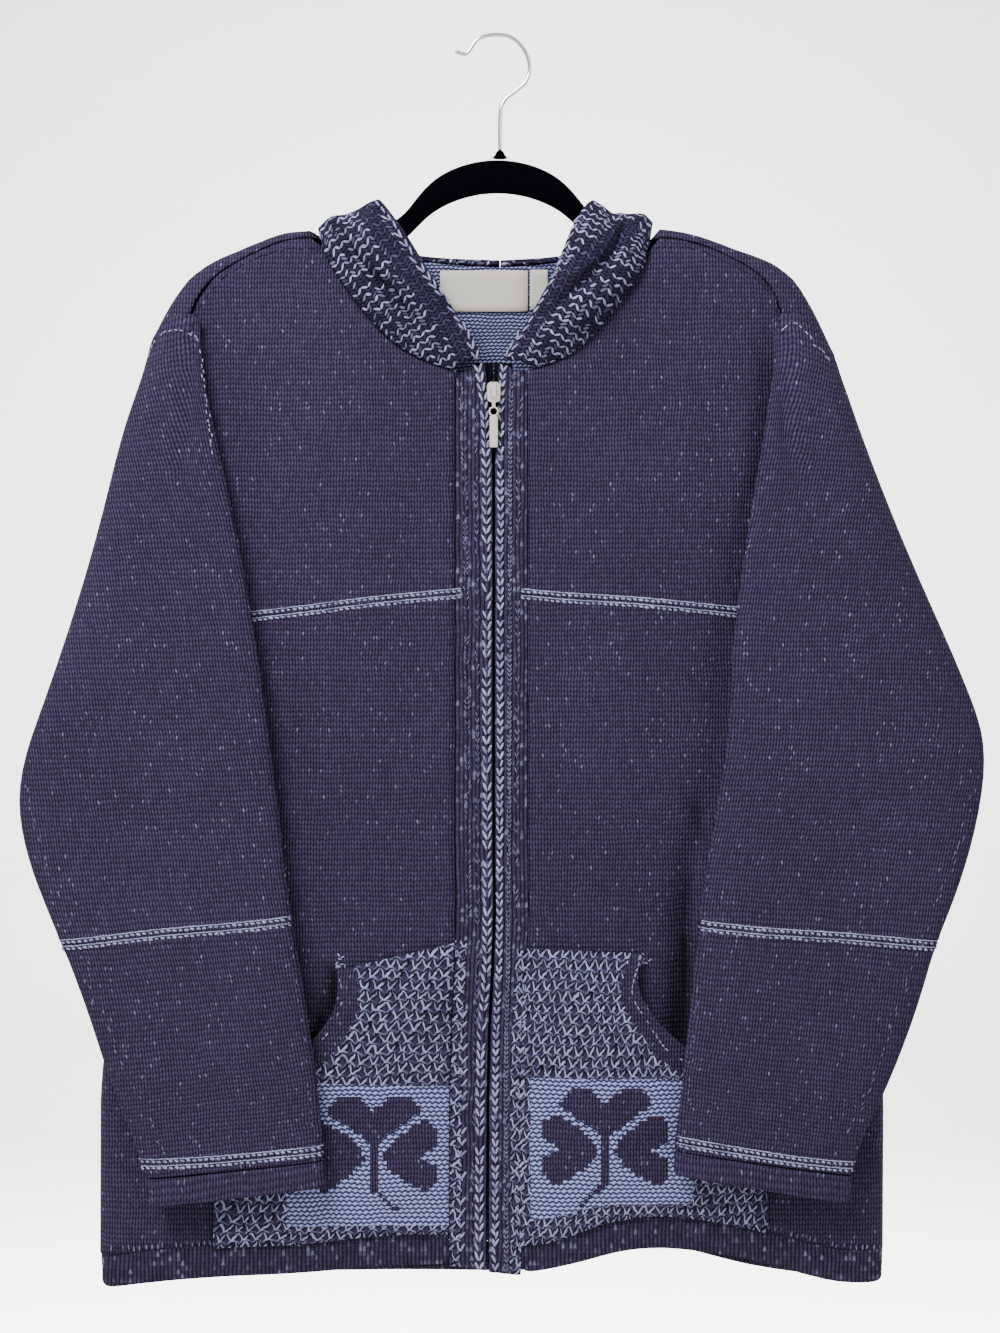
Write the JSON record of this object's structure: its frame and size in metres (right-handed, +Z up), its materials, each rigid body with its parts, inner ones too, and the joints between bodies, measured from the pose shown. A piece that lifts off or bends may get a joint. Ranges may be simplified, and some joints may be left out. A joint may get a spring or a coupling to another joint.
{
  "type": "zip-up hooded sweater on a hanger",
  "caption": "Chunky knitted hooded cardigan with a front zip and two pouch pockets, hanging open-hemmed on a flat velvet hanger with a wire hook.",
  "frame": {"origin": "crook of the hanger's hook, under the wire, where a rail or peg carries the whole", "axes": "+Z up, -Y towards the front of the sweater, +X towards the wearer's left"},
  "size_m": [0.719, 0.0926, 0.9355],
  "materials": {
    "navy_knit": "tweedy chunky knit",
    "fleck_knit": "two-colour knit with pale flecks",
    "band_knit": "ribbed knit",
    "zip_tape": "woven tape",
    "label_cloth": "woven satin, bare",
    "velvet": "flocked velvet over plastic",
    "chrome": "polished wire",
    "nickel": "satin nickel plate"
  },
  "bodies": {
    "sweater_on_hanger": {"hanger_hook": "chrome", "hanger_collar": "velvet", "hanger_body": "velvet", "back_panel": "navy_knit", "hem_back": "navy_knit", "neck_label": "label_cloth", "size_tab": "label_cloth", "zip_slider": "nickel", "front_left": "navy_knit", "hem_left": "navy_knit", "sleeve_left": "navy_knit", "cuff_left": "navy_knit", "pocket_left": "fleck_knit", "placket_left": "band_knit", "zip_tape_left": "zip_tape", "hood_left": "fleck_knit", "front_right": "navy_knit", "hem_right": "navy_knit", "sleeve_right": "navy_knit", "cuff_right": "navy_knit", "pocket_right": "fleck_knit", "placket_right": "band_knit", "zip_tape_right": "zip_tape", "hood_right": "fleck_knit"},
    "pull_tab": {"zip_pull": "nickel"}
  },
  "joints": [
    {"name": "pull_tab_swing", "type": "hinge", "parent": "sweater_on_hanger", "child": "pull_tab", "pos_m": [-0.0047, -0.01785, -0.2639], "axis": [-1, 0, 0], "range_deg": [0, 165]}
  ]
}
